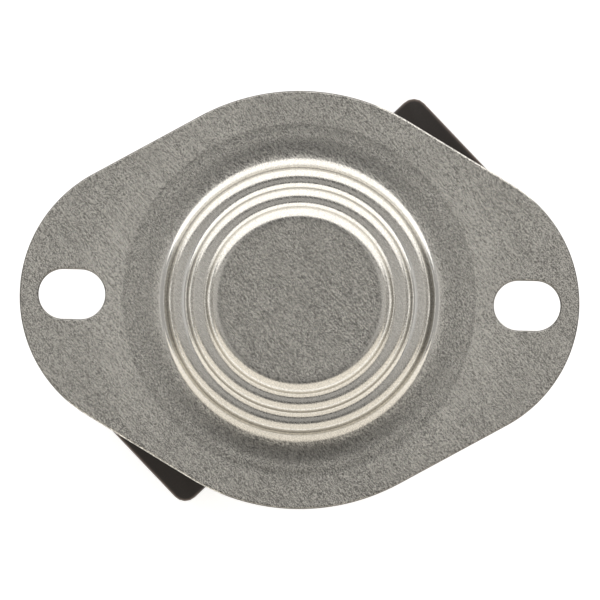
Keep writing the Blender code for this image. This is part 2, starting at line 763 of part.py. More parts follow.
def build():
    """Clear the file and make every piece."""
    for old in list(bpy.data.objects):
        bpy.data.objects.remove(old)

    aluminium = material("mill_aluminium", (0.58, 0.57, 0.54), 0.38, 1.0)
    phenolic = material("phenolic", (0.035, 0.028, 0.023), 0.55, 0.0)
    ceramic = material("ceramic", (0.78, 0.75, 0.68), 0.5, 0.0)
    brass = material("tinned_brass", (0.62, 0.58, 0.48), 0.32, 1.0)
    spring = material("copper_alloy_spring", (0.72, 0.45, 0.24), 0.3, 1.0)
    silver = material("silver", (0.8, 0.79, 0.76), 0.25, 1.0)
    bimetal = material("bimetal", (0.5, 0.48, 0.45), 0.35, 1.0)
    coating = material("heater_coating", (0.16, 0.22, 0.14), 0.6, 0.0)

    bar = empty("bar_frame", turn=bar_angle)
    arm_line = empty("arm_frame", bar, arm_angle)
    heater_line = empty("heater_frame", bar, heater_angle)
    heater_line_back = empty("heater_back_frame", bar, heater_angle + math.pi)

    build_flange_cup(aluminium)
    build_retaining_ring(aluminium)
    build_case(phenolic, bar)
    build_guide_plate(phenolic)
    build_bimetal_disc(bimetal)
    build_transfer_pin(ceramic, bar)

    line = (line_tab_width, line_tab_end, line_tab_hole, line_hole_from_end)
    heat = (heater_tab_width, heater_tab_end, heater_tab_hole, heater_hole_from_end)
    grips = {
        ("line", 1): contact_plate_low + contact_plate_thickness + seat_gap,
        ("line", -1): arm_top + arm_root_gap,
        ("heater", 1): tab_top + 2 * seat_gap + 2 * lead_radius,
        ("heater", -1): tab_top + 2 * seat_gap + 2 * lead_radius,
    }
    for number, side in ((1, 1), (2, -1)):
        pairs = [
            ("line", line, -side * line_tab_offset, -side * line_rivet_offset),
            ("heater", heat, side * heater_tab_offset, side * heater_tab_offset),
        ]
        for kind, sizes, offset, rivet_offset in pairs:
            build_terminal(f"{kind}_terminal_{number}", brass, bar, side, offset, sizes, rivet_offset)
            place = (side * rivet_place, rivet_offset)
            build_rivet(f"{kind}_rivet_{number}", brass, bar, place, grips[kind, side])

    build_contact_plate(brass, arm_line)
    place = (contact_place, 0.0, contact_plate_high - seat_gap)
    build_contact("fixed_contact", silver, arm_line, place, contact_plate_thickness, True)
    build_contact_arm(spring, arm_line)
    place = (contact_place, 0.0, arm_top + seat_gap)
    build_contact("moving_contact", silver, arm_line, place, arm_thickness, False)
    build_heater(coating, heater_line)
    build_lead("heater_lead_1", brass, heater_line)
    build_lead("heater_lead_2", brass, heater_line_back)


build()
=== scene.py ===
"""Looks of the cycling thermostat: finish of every piece, floor, light and camera."""
import math

import bmesh
import bpy
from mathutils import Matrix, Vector


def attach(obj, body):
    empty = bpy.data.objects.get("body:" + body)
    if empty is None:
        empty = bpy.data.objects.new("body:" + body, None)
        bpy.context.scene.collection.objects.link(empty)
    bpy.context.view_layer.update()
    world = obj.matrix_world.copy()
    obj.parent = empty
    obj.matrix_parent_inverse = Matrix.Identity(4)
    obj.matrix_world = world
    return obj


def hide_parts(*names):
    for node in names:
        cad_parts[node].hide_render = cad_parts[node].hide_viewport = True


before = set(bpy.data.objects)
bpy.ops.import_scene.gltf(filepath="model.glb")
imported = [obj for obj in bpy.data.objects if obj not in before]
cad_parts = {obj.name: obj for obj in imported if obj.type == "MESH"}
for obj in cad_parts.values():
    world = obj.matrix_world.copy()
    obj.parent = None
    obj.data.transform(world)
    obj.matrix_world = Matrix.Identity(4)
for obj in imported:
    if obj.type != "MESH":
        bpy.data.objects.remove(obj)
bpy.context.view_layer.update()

MM = 0.001

# Sheet cover, as the frame has it
SHEET = 0.6 * MM
FLANGE_BACK = 15.0 * MM
FLANGE_FRONT = FLANGE_BACK + SHEET
MIDDLE_RADIUS = 22.6 * MM
END_RADIUS = 15.0 * MM
END_OFFSET = 15.25 * MM
EDGE_ROUND = 0.2 * MM
SLOT_SPACING = 49.2 * MM
SLOT_LENGTH = 7.2 * MM
SLOT_WIDTH = 5.36 * MM
CREASE_RADIUS = 18.75 * MM
CREASE_WIDTH = 0.6 * MM
CREASE_DEPTH = 0.025 * MM
LEAD_RADIUS = 17.9 * MM
LEAD_TILT = math.radians(12.0)

# Steps of the cup, sensing face first: wall radius, rise, foot radius, shoulder radius
STEPS = (
    (10.0 * MM, 1.5 * MM, 0.6 * MM, 1.42 * MM),
    (12.05 * MM, 1.6 * MM, 0.72 * MM, 1.15 * MM),
    (14.27 * MM, 2.7 * MM, 1.35 * MM, 1.22 * MM),
)
CUP_FRONT = FLANGE_FRONT + sum(step[1] for step in STEPS)

# Fineness of the sheet's mesh, and the narrow flat bands that keep its shading clean
TURN_SEGMENTS = 240
FRONT_PIECES = 10
BACK_PIECES = 5
CREASE_PIECES = 8
EDGE_PIECES = 4
OUTLINE_STEP = math.radians(2.0)
SLOT_STEP = math.radians(6.0)
EDGE_BAND = 0.15 * MM
DISC_BAND = 0.1 * MM

# Radius below which a point of a profile lies on the axis
AXIS_RADIUS = 0.0001 * MM

# Rounded edges of the other pieces, and what is merged before they are rounded
CASE_EDGE = 0.12 * MM
RING_EDGE = 0.08 * MM
TAB_EDGE = 0.05 * MM
RIVET_EDGE = 0.04 * MM
BEVEL_SEGMENTS = 3
BEVEL_ANGLE = math.radians(35.0)
MERGE_DISTANCE = 0.001 * MM
FLAT_ANGLE = math.radians(0.5)

# Angles above which an edge is shaded as sharp
SHEET_SHARP = math.radians(40.0)
SHELL_SHARP = math.radians(30.0)

# Directions on the object
GRAIN_ANGLE = math.radians(135.0)
BAR_ANGLE = math.radians(45.0)
X_AXIS, Y_AXIS, Z_AXIS = (1.0, 0.0, 0.0), (0.0, 1.0, 0.0), (0.0, 0.0, 1.0)
BAR_ALONG = (0.707, 0.707, 0.0)
BAR_ACROSS = (0.707, -0.707, 0.0)

# Rings of the sheet's finish and of its painted light and shade: radii in mm where a mask rises,
# is full, falls and is gone
PEEL_RING = (15.5, 16.0, 19.0, 19.25)
BEND_RING = (8.6, 8.9, 15.0, 15.8)
FOOT_HIGHLIGHT_RINGS = ((12.2, 12.38, 12.55, 12.8), (14.45, 14.6, 14.95, 15.25))
SIDE_LIGHT_RING = (18.9, 19.2, 20.5, 25.0)
RIM_RING = (8.1, 8.5, 8.7, 8.95)
SEAT_RING = (15.6, 16.1, 17.2, 18.0)
CREASE_RING = (18.5, 18.85, 19.0, 19.2)
RIGHT_SHADE_RING = (14.0, 14.1, 14.4, 14.65)

# Half widths in mm of the painted shade line on a wall, where it is full and where it is gone
LINE_CORE = 0.03
LINE_REACH = 0.12

# Cosines at which the painted shade right of the widest wall fades in, and strength of the seat's
# painted shade at the sides and lower end
RIGHT_SHADE_SIDE = (0.7, 0.97)
SEAT_AT_SIDES = 0.4
SEAT_AT_LOWER_END = 1.7

# Places where its finish and its painted light and shade change, in mm: from the axis, in height,
# along Y and across the bar
DISC_EDGE = (8.0, 8.8)
OUTER_PART = (20.0, 20.5)
FRONT_HEIGHTS = (15.42, 15.58)
ROUNDING_HEIGHTS = (15.36, 15.44, 15.57, 15.595)
LOWER_END = (-8.0, -21.0)
BESIDE_BAR = (9.0, 10.0)

# Shares of the marks that are left at the back, on the bends and off the orange peel
BACK_SHARE = 0.2
BEND_SHARE = 0.25
PEEL_SHARE = 0.35

# Marks on the sheet in mm, the spread of their noise about its mean, and their depth
STREAK_SIZE = (0.6, 0.11)
BRUSH_SIZE = (3.5, 0.11)
SPECK_SIZE = 0.1
PEBBLE_SIZE = 0.2
CLOUD_SIZE = 5.0
NOISE_MEAN = 0.5
SPREAD = 0.12
SPECK_SPREAD = 0.08
STREAK_DEPTH = 0.55
BRUSH_DEPTH = 0.4
SPECK_DEPTH = 1.0
PEBBLE_DEPTH = 0.5
STREAK_HEIGHT = 0.003
PEBBLE_HEIGHT = 0.012

# Brightness of the sheet, where 0 is the deep tone and 1 the bright one; the back's low level and
# the lower end's depth are painted shade, the side light is painted light
FRONT_SHADE = 0.61
BACK_PAINTED_SHADE = 0.16
SIDE_LIGHT_DEPTH = 0.5
LOWER_SHADE_DEPTH = 0.28
DISC_DEPTH = 0.28

# Plain colour and roughness of the sheet, its tones, and the tones of its painted highlights and
# shade
MILL_ALUMINIUM = ((0.8, 0.79, 0.765), 0.3)
DEEP_TONE = (0.24, 0.232, 0.216)
BRIGHT_TONE = (1.0, 0.968, 0.9)
CLOUD_TONE = (0.58, 0.561, 0.52)
BEND_HIGHLIGHT_TONE = (0.95, 0.92, 0.86)
FOOT_HIGHLIGHT_TONE = (1.0, 0.99, 0.96)
SHADOW_TONE = (0.16, 0.155, 0.145)
WALL_SHADE_TONE = (0.15, 0.145, 0.135)
EDGE_SHADE_TONE = (0.13, 0.125, 0.117)

# How far each tone covers the one below it; the bend tone is a painted highlight, and the tones
# from the rim on are painted shade
CLOUD_COVER = 0.25
BEND_HIGHLIGHT_COVER = 0.4
RIM_COVER = 0.25
PEEL_COVER = 0.06
SEAT_COVER = 0.25
CREASE_COVER = 0.1
WALL_SHADE_COVERS = (0.35, 0.75, 0.75)
RIGHT_SHADE_COVER = 0.55
EDGE_SHADE_COVER = 0.9

# Roughness of the sheet over its streaks, and what its bends and feet take away from it
STREAK_SPAN = (0.35, 0.65)
SHEET_ROUGHNESS = (0.26, 0.36)
BEND_GLOSS = 0.06
FOOT_GLOSS = 0.1

# Phenolic: speckle in mm, tones, and a painted highlight on the edges by height and by reach along
# the bar
PHENOLIC = ((0.04, 0.031, 0.026), 0.5)
FLECK_SIZE = 0.12
FLECK_SPAN = (0.35, 0.7)
FLECK_HEIGHT = 0.006
MOULD_CLOUD_SIZE = 3.0
PHENOLIC_DARK = (0.013, 0.0095, 0.008)
PHENOLIC_LIGHT = (0.03, 0.022, 0.017)
PHENOLIC_BROWN = (0.022, 0.015, 0.012)
BROWN_COVER = 0.5
PHENOLIC_ROUGHNESS = (0.42, 0.58)
EDGE_HIGHLIGHT_TONE = (0.11, 0.08, 0.064)
EDGE_HIGHLIGHT_HEIGHTS = (4.5, 4.7, 4.88, 4.97)
EDGE_HIGHLIGHT_REACH = (21.5, 23.5)
EDGE_HIGHLIGHT_LEAST = 0.15

# Range that noise mostly keeps to
NOISE_SPAN = (0.3, 0.7)

# Plain metals: colour, roughness, width and direction of the grain
TINNED_BRASS = ((0.72, 0.69, 0.62), 0.3, 0.05, BAR_ANGLE)
RING_ALUMINIUM = ((0.52, 0.51, 0.49), 0.34, 0.06)
BIMETAL = ((0.56, 0.54, 0.5), 0.34, 0.08)
SILVER = ((0.86, 0.85, 0.82), 0.25, 0.04)
SPRING_ALLOY = ((0.76, 0.48, 0.26), 0.28, 0.05)

# Grain and clouds that the plain metals share
GRAIN_STRETCH = 8.0
METAL_CLOUD_SIZE = 2.5
METAL_DARKER = 0.82
METAL_SMOOTHER = 0.06
METAL_ROUGHER = 0.08
METAL_GRAIN_HEIGHT = 0.003

# Matt bodies: colour, roughness and size of the pits
CERAMIC = ((0.78, 0.75, 0.68), 0.5, 0.1)
HEATER_COATING = ((0.14, 0.2, 0.12), 0.6, 0.15)
PIT_LIGHTER = 1.25
PIT_HEIGHT = 0.01

# Softboxes: place, target, size, radiance and colour
UPPER_PANEL = ((0.0, 0.386, 0.231), (0.0, 0.0, 0.0), (2.0, 0.5), 1.35, (1.0, 0.985, 0.96))
LOWER_PANEL = ((0.0, -0.386, 0.231), (0.0, 0.0, 0.0), (2.0, 0.5), 0.88, (1.0, 0.94, 0.84))
OVERHEAD = ((0.0, 0.0, 1.2), (0.0, 0.0, 0.0), (0.5, 0.28), 0.5, (1.0, 0.98, 0.95))
UNDER_PANEL = ((0.0, 0.0, -0.6), (0.0, 0.0, 0.0), (1.4, 1.4), 0.5, (1.0, 0.99, 0.97))

# Softboxes that stand at both ends, given for the right one
OVERHEAD_SIDE = ((0.85, 0.0, 1.2), (0.85, 0.0, 0.0), (1.2, 0.8), 0.4, (1.0, 0.98, 0.95))
END_PANEL = ((1.3, 0.0, 0.5), (0.0, 0.0, 0.0), (0.8, 1.3), 0.235, (1.0, 0.96, 0.9))

# Floor and surround
FLOOR_SIZE = 4.0
FLOOR_GAP = 0.2 * MM
FLOOR_GLOW = 0.65
FLOOR_LOOK = ((0.9, 0.9, 0.9), 0.8)
WHITE = (1.0, 1.0, 1.0, 1.0)
DIM_GREY = (0.09, 0.09, 0.09, 1.0)

# Camera, with its frame and the object's place in it
FRAME_PIXELS = 600
PIXELS_PER_MM = 9.26
OBJECT_TURN = math.radians(1.479)
CENTRE_OFFSET = (0.5, 0.0)
CAMERA_DISTANCE = 0.65
CLIP_START = 0.01
SENSOR = 36.0

# Slants that keep flat faces out of one layer of noise
SLANTS = (0.4, 0.3)

# Sockets of the mix node that carry colours
MIX_COLOURS = (6, 7)
MIX_RESULT = 2


class Look:
    """A Principled material with short calls for its texture nodes."""

    def __init__(self, name, colour, roughness, metallic=0.0):
        self.material = bpy.data.materials.new(name)
        self.material.use_nodes = True
        self.tree = self.material.node_tree
        self.shader = self.tree.nodes["Principled BSDF"]
        self.set("Base Color", (*colour, 1.0))
        self.set("Roughness", roughness)
        self.set("Metallic", metallic)
        self.place = self.node("ShaderNodeTexCoord").outputs["Object"]

    def node(self, kind, **options):
        made = self.tree.nodes.new(kind)
        for key, value in options.items():
            setattr(made, key, value)
        return made

    def feed(self, socket, value):
        if isinstance(value, bpy.types.NodeSocket):
            self.tree.links.new(value, socket)
        else:
            socket.default_value = value

    def set(self, name, value):
        self.feed(self.shader.inputs[name], value)

    def math(self, operation, first, second=0.0, clamp=False):
        made = self.node("ShaderNodeMath", operation=operation, use_clamp=clamp)
        self.feed(made.inputs[0], first)
        self.feed(made.inputs[1], second)
        return made.outputs[0]

    def plus(self, first, second):
        return self.math("ADD", first, second)

    def times(self, first, second):
        return self.math("MULTIPLY", first, second)

    def dot(self, direction):
        """Distance along a direction, in mm."""
        made = self.node("ShaderNodeVectorMath", operation="DOT_PRODUCT")
        self.feed(made.inputs[0], self.place)
        made.inputs[1].default_value = [part / MM for part in direction]
        return made.outputs["Value"]

    def streaks(self, angle, along, across):
        """Coordinates drawn out along a direction, with features of the given sizes in mm.

        They are slanted, so that no flat face lies in one layer of a noise pattern.
        """
        c, s = math.cos(angle), math.sin(angle)
        first = Vector((c, s, 0.0)) / along
        second = Vector((-s, c, 0.0)) / across
        third = Vector(Z_AXIS) / across + SLANTS[0] * first + SLANTS[1] * second
        made = self.node("ShaderNodeCombineXYZ")
        for socket, direction in zip(made.inputs, (first, second, third)):
            self.feed(socket, self.dot(direction))
        return made.outputs[0]

    def even(self, size):
        """Coordinates with features of one size in mm."""
        return self.streaks(0.0, size, size)

    def noise(self, vector, detail, roughness=0.5):
        made = self.node("ShaderNodeTexNoise")
        self.feed(made.inputs["Vector"], vector)
        made.inputs["Scale"].default_value = 1.0
        made.inputs["Detail"].default_value = detail
        made.inputs["Roughness"].default_value = roughness
        return made.outputs["Fac"]

    def ramp(self, kind, value, low, high, start, end):
        made = self.node("ShaderNodeMapRange", interpolation_type=kind)
        for socket, given in zip(made.inputs, (value, low, high, start, end)):
            self.feed(socket, given)
        return made.outputs["Result"]

    def linear(self, value, low, high, start=0.0, end=1.0):
        """Straight ramp from start to end as the value goes from low to high."""
        return self.ramp("LINEAR", value, low, high, start, end)

    def fade(self, value, low, high, start=0.0, end=1.0):
        """Smooth step from start to end as the value goes from low to high."""
        return self.ramp("SMOOTHSTEP", value, low, high, start, end)

    def ring(self, value, rise, full, fall, gone):
        """Mask that fades in from rise to full and out from fall to gone."""
        inside = self.fade(value, rise, full)
        return self.times(inside, self.fade(value, fall, gone, 1.0, 0.0))

    def mix(self, factor, first, second):
        made = self.node("ShaderNodeMix", data_type="RGBA")
        self.feed(made.inputs["Factor"], factor)
        for index, colour in zip(MIX_COLOURS, (first, second)):
            given = colour if isinstance(colour, bpy.types.NodeSocket) else (*colour, 1.0)
            self.feed(made.inputs[index], given)
        return made.outputs[MIX_RESULT]

    def cover(self, tone, mask, strength, colour):
        """The tone with a colour over it, as far as the mask times the strength."""
        return self.mix(self.times(mask, strength), tone, colour)

    def bump(self, height, depth, normal=None):
        """Bump of a height from 0 to 1 with the given depth in mm."""
        made = self.node("ShaderNodeBump")
        made.inputs["Strength"].default_value = 1.0
        made.inputs["Distance"].default_value = depth * MM
        self.feed(made.inputs["Height"], height)
        if normal is not None:
            self.feed(made.inputs["Normal"], normal)
        return made.outputs["Normal"]


class SheetPlaces:
    """Where on the sheet a point is, and masks of its rolled, drawn and rough areas."""

    def __init__(self, look):
        self.x, self.y, self.height = (look.dot(axis) for axis in (X_AXIS, Y_AXIS, Z_AXIS))
        squares = look.plus(look.times(self.x, self.x), look.times(self.y, self.y))
        self.radius = look.math("SQRT", squares)
        self.cosine = look.math("DIVIDE", self.x, self.radius)
        self.sine = look.math("DIVIDE", self.y, self.radius)
        self.sides = look.math("POWER", self.cosine, 2.0)
        self.front = look.fade(self.height, *FRONT_HEIGHTS, BACK_SHARE, 1.0)
        self.peel = look.ring(self.radius, *PEEL_RING)
        self.bends = look.ring(self.radius, *BEND_RING)
        shaped = look.math("MAXIMUM", self.peel, self.bends)
        flats = look.math("SUBTRACT", 1.0, shaped, clamp=True)
        self.rolled = look.times(flats, self.front)
        self.drawn = look.times(look.linear(self.bends, 0.0, 1.0, 1.0, BEND_SHARE), self.front)
        self.rough = look.times(look.math("MAXIMUM", self.peel, PEEL_SHARE), self.drawn)


def sheet_marks(look, at, streak, pebble):
    """Light and dark of rolling marks, brushed lines, specks and orange peel."""
    brushed = look.noise(look.streaks(GRAIN_ANGLE, *BRUSH_SIZE), detail=1.0)
    speck = look.noise(look.even(SPECK_SIZE), detail=0.0)
    layers = (
        (streak, SPREAD, STREAK_DEPTH, at.rolled),
        (speck, SPECK_SPREAD, SPECK_DEPTH, at.drawn),
        (brushed, SPREAD, BRUSH_DEPTH, at.rolled),
        (pebble, SPREAD, PEBBLE_DEPTH, at.rough),
    )
    marks = 0.0
    for pattern, spread, depth, mask in layers:
        swing = look.linear(pattern, NOISE_MEAN - spread, NOISE_MEAN + spread, -depth, depth)
        marks = look.plus(marks, look.times(swing, mask))
    return marks


def sheet_shade(look, at, marks):
    """Brightness with its marks: painted light beside the slots, painted shade at the lower end,
    and less on the disc.
    """
    # Painted light: the flats beside the slots are brighter towards the left and right ends.
    side_light = look.times(look.ring(at.radius, *SIDE_LIGHT_RING), at.sides)
    # Painted shade: the sheet grows darker towards its lower end.
    lower = look.linear(at.y, *LOWER_END, 0.0, LOWER_SHADE_DEPTH)
    disc = look.fade(at.radius, *DISC_EDGE, DISC_DEPTH, 0.0)
    shade = look.plus(marks, look.times(side_light, SIDE_LIGHT_DEPTH))
    shade = look.math("SUBTRACT", shade, look.plus(lower, disc))
    # Painted shade: the back of the sheet is set far darker than the front.
    return look.plus(shade, look.linear(at.front, BACK_SHARE, 1.0, BACK_PAINTED_SHADE, FRONT_SHADE))


def sheet_tone(look, at, shade, foot_highlight):
    """Tone of the sheet with faint clouds, and painted highlights on the bends and, at the left
    and right, on the foot rings.
    """
    cloud = look.noise(look.even(CLOUD_SIZE), detail=3.0)
    tone = look.mix(shade, DEEP_TONE, BRIGHT_TONE)
    tone = look.mix(look.linear(cloud, *NOISE_SPAN, 0.0, CLOUD_COVER), tone, CLOUD_TONE)
    # Painted highlight: the bends are made lighter.
    tone = look.cover(tone, at.bends, BEND_HIGHLIGHT_COVER, BEND_HIGHLIGHT_TONE)
    # Painted highlight on the foot rings.
    return look.mix(foot_highlight, tone, FOOT_HIGHLIGHT_TONE)


def ring_shadows(look, at, tone):
    """Darker rim of the disc, lead-in and crease, and a seat that is darkest at the lower end."""
    seat = look.ring(at.radius, *SEAT_RING)
    seat = look.times(seat, look.linear(at.sides, 0.0, 0.5, 1.0, SEAT_AT_SIDES))
    seat = look.times(seat, look.linear(at.sine, 0.0, -1.0, 1.0, SEAT_AT_LOWER_END))
    shadows = (
        (look.ring(at.radius, *RIM_RING), RIM_COVER),
        (at.peel, PEEL_COVER),
        (seat, SEAT_COVER),
        (look.ring(at.radius, *CREASE_RING), CREASE_COVER),
    )
    for mask, strength in shadows:
        tone = look.cover(tone, mask, strength, SHADOW_TONE)
    return tone


def wall_shade(look, at, tone):
    """Painted shade: a dark line on each wall of the cup, and a wider one at the right of the
    widest wall.
    """
    # Painted shade: a dark line along each wall.
    for step, strength in zip(STEPS, WALL_SHADE_COVERS):
        reaches = (-LINE_REACH, -LINE_CORE, LINE_CORE, LINE_REACH)
        line = look.ring(at.radius, *(step[0] / MM + reach for reach in reaches))
        tone = look.cover(tone, line, strength, WALL_SHADE_TONE)
    # Painted shade, wider, at the right of the widest wall.
    right = look.fade(at.cosine, *RIGHT_SHADE_SIDE)
    right_shade = look.times(look.ring(at.radius, *RIGHT_SHADE_RING), right)
    return look.cover(tone, right_shade, RIGHT_SHADE_COVER, WALL_SHADE_TONE)


def edge_shade(look, at, tone):
    """Painted shade: a dark line on the flange's rounded edge, except in front of the bar's ends.
    """
    # Painted shade on the rounded edge of the flange.
    rounding = look.ring(at.height, *ROUNDING_HEIGHTS)
    across = look.math("ABSOLUTE", look.dot(BAR_ACROSS))
    edge = look.times(rounding, look.fade(at.radius, *OUTER_PART))
    edge = look.times(edge, look.fade(across, *BESIDE_BAR))
    return look.cover(tone, edge, EDGE_SHADE_COVER, EDGE_SHADE_TONE)


def aluminium_sheet():
    """Mill aluminium: rolled grain on the flats, orange peel round the cup, drawn bends, and
    painted light and shade.
    """
    look = Look("mill_aluminium", *MILL_ALUMINIUM, metallic=1.0)
    at = SheetPlaces(look)
    streak = look.noise(look.streaks(GRAIN_ANGLE, *STREAK_SIZE), detail=0.0)
    pebble = look.noise(look.even(PEBBLE_SIZE), detail=1.0)
    # Painted highlight on the foot rings of two steps, at the left and right only.
    foot_highlight = look.plus(*(look.ring(at.radius, *ring) for ring in FOOT_HIGHLIGHT_RINGS))
    foot_highlight = look.times(foot_highlight, look.math("POWER", at.sides, 2.0))

    shade = sheet_shade(look, at, sheet_marks(look, at, streak, pebble))
    tone = sheet_tone(look, at, shade, foot_highlight)
    for layer in (ring_shadows, wall_shade, edge_shade):
        tone = layer(look, at, tone)
    look.set("Base Color", tone)

    finish = look.linear(streak, *STREAK_SPAN, *SHEET_ROUGHNESS)
    gloss = look.plus(look.times(at.bends, BEND_GLOSS), look.times(foot_highlight, FOOT_GLOSS))
    look.set("Roughness", look.math("SUBTRACT", finish, gloss))
    normal = look.bump(look.times(streak, at.rolled), STREAK_HEIGHT)
    look.set("Normal", look.bump(look.times(pebble, at.rough), PEBBLE_HEIGHT, normal))
    return look.material


def phenolic():
    """Brown-black moulded phenolic with a fine filler speckle and a painted highlight on the
    rounded upper edges of the bar, strongest at its ends.
    """
    look = Look("phenolic", *PHENOLIC)
    fleck = look.noise(look.even(FLECK_SIZE), detail=3.0, roughness=0.6)
    cloud = look.noise(look.even(MOULD_CLOUD_SIZE), detail=2.0)
    tone = look.mix(look.linear(fleck, *FLECK_SPAN), PHENOLIC_DARK, PHENOLIC_LIGHT)
    tone = look.mix(look.linear(cloud, *NOISE_SPAN, 0.0, BROWN_COVER), tone, PHENOLIC_BROWN)
    reach = look.math("ABSOLUTE", look.dot(BAR_ALONG))
    brow = look.ring(look.dot(Z_AXIS), *EDGE_HIGHLIGHT_HEIGHTS)
    # Painted highlight: the rounded upper edges are made lighter brown, most at the bar's ends.
    edge_highlight = look.times(brow, look.fade(reach, *EDGE_HIGHLIGHT_REACH, EDGE_HIGHLIGHT_LEAST, 1.0))
    look.set("Base Color", look.mix(edge_highlight, tone, EDGE_HIGHLIGHT_TONE))
    look.set("Roughness", look.linear(cloud, *NOISE_SPAN, *PHENOLIC_ROUGHNESS))
    look.set("Normal", look.bump(fleck, FLECK_HEIGHT))
    return look.material


def plain_metal(name, colour, roughness, size, angle=0.0):
    """Metal with a light drawn grain."""
    look = Look(name, colour, roughness, metallic=1.0)
    along = look.streaks(angle, size * GRAIN_STRETCH, size)
    grain = look.noise(along, detail=3.0, roughness=0.6)
    cloud = look.noise(look.even(METAL_CLOUD_SIZE), detail=2.0)
    dark = tuple(part * METAL_DARKER for part in colour)
    least, most = roughness - METAL_SMOOTHER, roughness + METAL_ROUGHER
    look.set("Base Color", look.mix(look.linear(cloud, *NOISE_SPAN), dark, colour))
    look.set("Roughness", look.linear(grain, *NOISE_SPAN, least, most))
    look.set("Normal", look.bump(grain, METAL_GRAIN_HEIGHT))
    return look.material


def matt(name, colour, roughness, size):
    """Matt body with a fine pitted surface."""
    look = Look(name, colour, roughness)
    pit = look.noise(look.even(size), detail=3.0, roughness=0.6)
    light = tuple(min(1.0, part * PIT_LIGHTER) for part in colour)
    look.set("Base Color", look.mix(look.linear(pit, *NOISE_SPAN), colour, light))
    look.set("Normal", look.bump(pit, PIT_HEIGHT))
    return look.material


def belt(circles, inset, step):
    """Points of the tight belt round circles (x, y, radius), counter-clockwise."""
    count = len(circles)
    leaves = []
    for index, (x, y, radius) in enumerate(circles):
        next_x, next_y, next_radius = circles[(index + 1) % count]
        heading = math.atan2(next_y - y, next_x - x)
        distance = math.hypot(next_x - x, next_y - y)
        leaves.append(heading - math.acos((radius - next_radius) / distance))
    points = []
    for index, (x, y, radius) in enumerate(circles):
        start = leaves[index - 1]
        sweep = (leaves[index] - start) % math.tau
        pieces = max(1, round(sweep / step))
        for k in range(pieces + 1):
            angle = start + sweep * k / pieces
            reach = radius - inset
            points.append((x + reach * math.cos(angle), y + reach * math.sin(angle)))
    return points


def add_loop(bm, points, z):
    """Vertices of a flat loop at height z."""
    return [bm.verts.new((x, y, z)) for x, y in points]


def join_loops(bm, first, second):
    """A band of faces between two loops of the same count."""
    count = len(first)
    for k in range(count):
        after = (k + 1) % count
        bm.faces.new((first[k], first[after], second[after], second[k]))


def fill_between(bm, loops):
    """Flat faces inside the first loop and outside the others."""
    edges = []
    for loop in loops:
        for k, vert in enumerate(loop):
            pair = (vert, loop[(k + 1) % len(loop)])
            edges.append(bm.edges.get(pair) or bm.edges.new(pair))
    bmesh.ops.triangle_fill(bm, use_beauty=True, use_dissolve=False, edges=edges)


def turned(bm, profile):
    """Revolve (radius, height) points about Z, from the axis outwards, and give the outer loop."""
    angles = [math.tau * k / TURN_SEGMENTS for k in range(TURN_SEGMENTS)]
    rings = []
    for radius, z in profile:
        if radius < AXIS_RADIUS:
            rings.append([bm.verts.new((0.0, 0.0, z))])
        else:
            points = [(radius * math.cos(angle), radius * math.sin(angle)) for angle in angles]
            rings.append(add_loop(bm, points, z))
    for first, second in zip(rings, rings[1:]):
        if len(first) == 1:
            for k, vert in enumerate(second):
                bm.faces.new((vert, second[(k + 1) % TURN_SEGMENTS], first[0]))
        else:
            join_loops(bm, first, second)
    return rings[-1]


def arc(centre_r, centre_z, radius, start, end, pieces):
    """Points of an arc in the profile plane, angles in degrees."""
    points = []
    for k in range(pieces + 1):
        angle = math.radians(start + (end - start) * k / pieces)
        points.append((centre_r + radius * math.cos(angle), centre_z + radius * math.sin(angle)))
    return points


def cup_profile(depth, pieces):
    """Cup surface from the sensing face out to the lead-in, at a depth below the front."""
    level = CUP_FRONT
    points = [(0.0, level - depth)]
    for index, (wall, rise, foot, shoulder) in enumerate(STEPS):
        tilt = LEAD_TILT if index == len(STEPS) - 1 else 0.0
        foot_centre = wall + foot
        blend = foot
        if tilt:
            blend += (LEAD_RADIUS - foot_centre) / math.sin(tilt)
        lift = (blend - foot) * (1.0 - math.cos(tilt))
        bends = foot + shoulder
        lean = math.acos(max(0.0, 1.0 - (rise - lift) / bends))
        shoulder_centre = foot_centre - bends * math.sin(lean)
        if index == 0:
            points.append((shoulder_centre - DISC_BAND, level - depth))
        upper, lower = math.degrees(lean), math.degrees(tilt)
        shoulder_level = level - shoulder
        level -= rise
        foot_level = level + lift + foot
        points += arc(
            shoulder_centre, shoulder_level, shoulder - depth, 90.0, 90.0 - upper, pieces
        )
        points += arc(
            foot_centre, foot_level, foot + depth, 270.0 - upper, 270.0 - lower, pieces
        )[1:]
    sweep = arc(LEAD_RADIUS, FLANGE_FRONT + blend, blend + depth, 270.0 - lower, 270.0, pieces)
    return points + sweep[1:]


def crease_profile():
    """Soft groove over the edge of the collar behind."""
    points = []
    for k in range(1, CREASE_PIECES + 1):
        share = k / CREASE_PIECES
        radius = CREASE_RADIUS + (share - 0.5) * CREASE_WIDTH
        dip = CREASE_DEPTH * 0.5 * (1.0 - math.cos(math.tau * share))
        points.append((radius, FLANGE_FRONT - dip))
    return points


def edge_levels():
    """Inset and height of each loop up an edge of the flange, with its front rounded."""
    levels = [(EDGE_BAND, FLANGE_BACK), (0.0, FLANGE_BACK)]
    for k in range(EDGE_PIECES + 1):
        angle = math.radians(90.0 * k / EDGE_PIECES)
        inset = EDGE_ROUND * (1.0 - math.cos(angle))
        levels.append((inset, FLANGE_FRONT - EDGE_ROUND * (1.0 - math.sin(angle))))
    return levels + [(EDGE_ROUND + EDGE_BAND, FLANGE_FRONT)]


